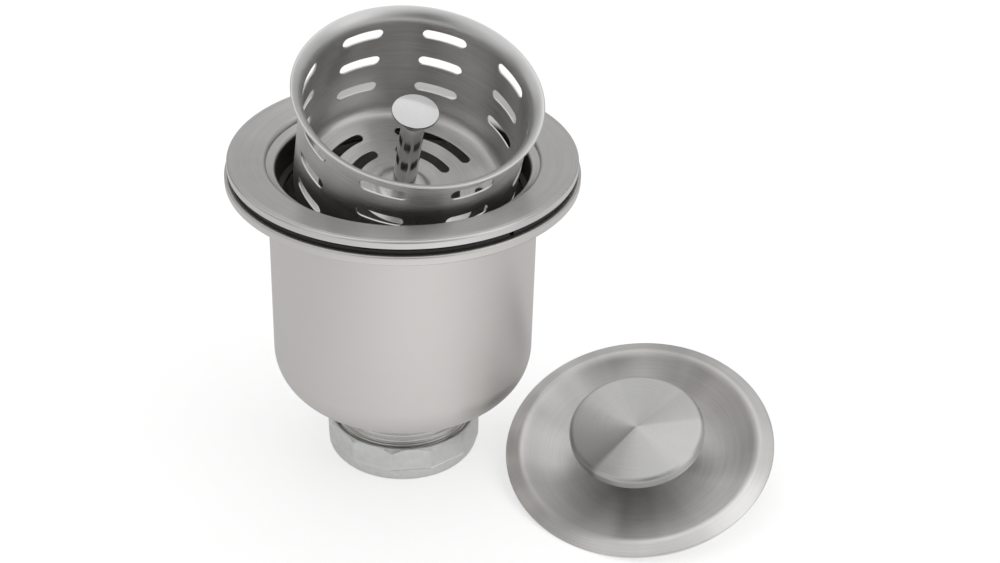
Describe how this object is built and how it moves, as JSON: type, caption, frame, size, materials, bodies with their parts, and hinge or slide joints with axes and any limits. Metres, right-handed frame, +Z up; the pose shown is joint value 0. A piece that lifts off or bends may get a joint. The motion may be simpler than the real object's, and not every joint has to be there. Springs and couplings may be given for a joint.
{
  "type": "sink strainer",
  "caption": "Kitchen sink strainer with a flange, deep cup, threaded outlet with slip nut, lift-out slotted basket with a post, and a dished lid with a knob.",
  "frame": {"origin": "on the cup's axis, in the plane of the slip nut's foot, which the strainer stands on", "axes": "+Z up along the cup's axis, -Y towards the viewer of the picture, +X to the right, where the lid lies"},
  "size_m": [0.184, 0.1267, 0.1539],
  "materials": {
    "flange_steel": "fine concentric brushing",
    "cup_steel": "satin",
    "basket_steel": "brushed round the wall",
    "lid_steel": "fine circular brushing",
    "bright_steel": "polished",
    "nut_zinc": "pale cast zinc alloy, satin",
    "black_rubber": "matte",
    "grey_rubber": "matte",
    "fibre": "matte fibre",
    "white_plastic": "smooth"
  },
  "bodies": {
    "cup": {"cup_flange": "cup_steel", "cup_shell": "cup_steel", "cup_thread_ring": "bright_steel", "outlet_tube": "bright_steel", "outlet_crossbar": "bright_steel", "rubber_gasket": "black_rubber", "friction_ring": "fibre"},
    "seal": {"flange_seal": "grey_rubber"},
    "flange": {"sink_flange": "flange_steel"},
    "basket": {"basket_shell": "basket_steel", "basket_post": "bright_steel", "post_knob": "bright_steel", "post_collar": "bright_steel", "post_lock_washer": "bright_steel", "post_screw": "bright_steel"},
    "nut_washer": {"slip_washer": "white_plastic"},
    "nut": {"slip_nut": "nut_zinc"},
    "lid": {"lid_plate": "lid_steel", "lid_knob": "lid_steel", "lid_knob_stud": "bright_steel", "lid_sealing_washer": "black_rubber", "lid_steel_washer": "bright_steel", "lid_nut": "bright_steel"}
  },
  "joints": [
    {"name": "flange_rise", "type": "slide", "parent": "cup", "child": "seal", "axis": [0, 0, 1], "range_m": [0, 0.006]},
    {"name": "flange_turn", "type": "hinge", "parent": "seal", "child": "flange", "pos_m": [0, 0, 0.1144], "axis": [0, 0, 1], "range_deg": [0, 1080]},
    {"name": "basket_lift", "type": "slide", "parent": "flange", "child": "basket", "axis": [0.1108, -0.3253, 0.9391], "range_m": [0, 0.075]},
    {"name": "nut_travel", "type": "slide", "parent": "cup", "child": "nut_washer", "axis": [0, 0, 1], "range_m": [-0.00442, 0.00166]},
    {"name": "nut_turn", "type": "hinge", "parent": "nut_washer", "child": "nut", "pos_m": [0, 0, 0.006], "axis": [0, 0, 1], "range_deg": [-720, 270]},
    {"name": "lid_lift", "type": "slide", "parent": "cup", "child": "lid", "axis": [0.6769, -0.2044, 0.7071], "range_m": [0, 0.1]}
  ],
  "couplings": [
    {"joint": "flange_rise", "follows": "flange_turn", "m_per_rad": 0.00031831},
    {"joint": "nut_travel", "follows": "nut_turn", "m_per_rad": 0.00035157}
  ]
}
